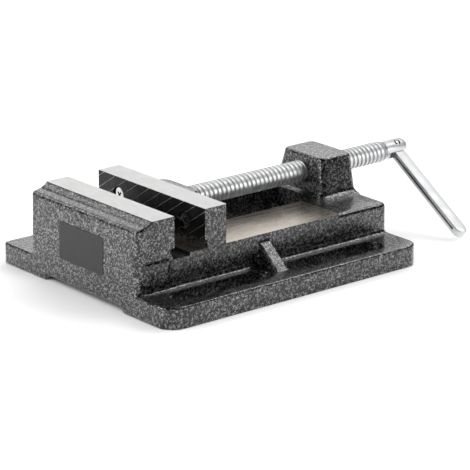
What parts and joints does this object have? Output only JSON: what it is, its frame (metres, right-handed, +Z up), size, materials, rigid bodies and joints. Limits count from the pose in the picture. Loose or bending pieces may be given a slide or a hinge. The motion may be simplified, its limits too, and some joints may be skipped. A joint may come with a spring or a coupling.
{
  "type": "drill press vise",
  "caption": "Low machine vise with slotted hold-down flanges, hardened grooved jaw plates, a sliding jaw on flat ways, a trapezoidal lead screw and a folding crank handle.",
  "frame": {"origin": "centre of the four hold-down slots, on the table plane", "axes": "+X along the lead screw from the fixed jaw towards the handle, +Y across the jaws, +Z up from the table"},
  "size_m": [0.3067, 0.197, 0.068],
  "materials": {
    "hammertone_paint": "hammertone, semi-gloss",
    "black_jaw_steel": "black oxide, grooved",
    "zinc_steel": "bright zinc plate",
    "ground_steel": "ground",
    "label_film": "smooth film"
  },
  "bodies": {
    "base": {"base": "hammertone_paint", "front_label": "label_film", "fixed_jaw_plate": "black_jaw_steel", "fixed_plate_screws": "zinc_steel"},
    "moving_jaw": {"moving_jaw": "hammertone_paint", "moving_jaw_plate": "black_jaw_steel", "moving_plate_screws": "zinc_steel", "retaining_pins": "zinc_steel", "keeper_plate": "ground_steel", "keeper_bolts": "zinc_steel", "keeper_washers": "zinc_steel"},
    "lead_screw": {"lead_screw": "zinc_steel", "handle_pin": "zinc_steel"},
    "handle": {"handle": "zinc_steel"}
  },
  "joints": [
    {"name": "jaw_slide", "type": "slide", "parent": "base", "child": "moving_jaw", "axis": [1, 0, 0], "range_m": [-0.027, 0.0977]},
    {"name": "screw_turn", "type": "hinge", "parent": "moving_jaw", "child": "lead_screw", "pos_m": [0.08575, 0, 0.055], "axis": [1, 0, 0], "range_deg": [-9000, 9000]},
    {"name": "handle_fold", "type": "hinge", "parent": "lead_screw", "child": "handle", "pos_m": [0.18275, 0, 0.055], "axis": [0, -0.5446, 0.8387], "range_deg": [0, 180]}
  ],
  "couplings": [
    {"joint": "screw_turn", "follows": "jaw_slide", "rad_per_m": 1570.8}
  ]
}
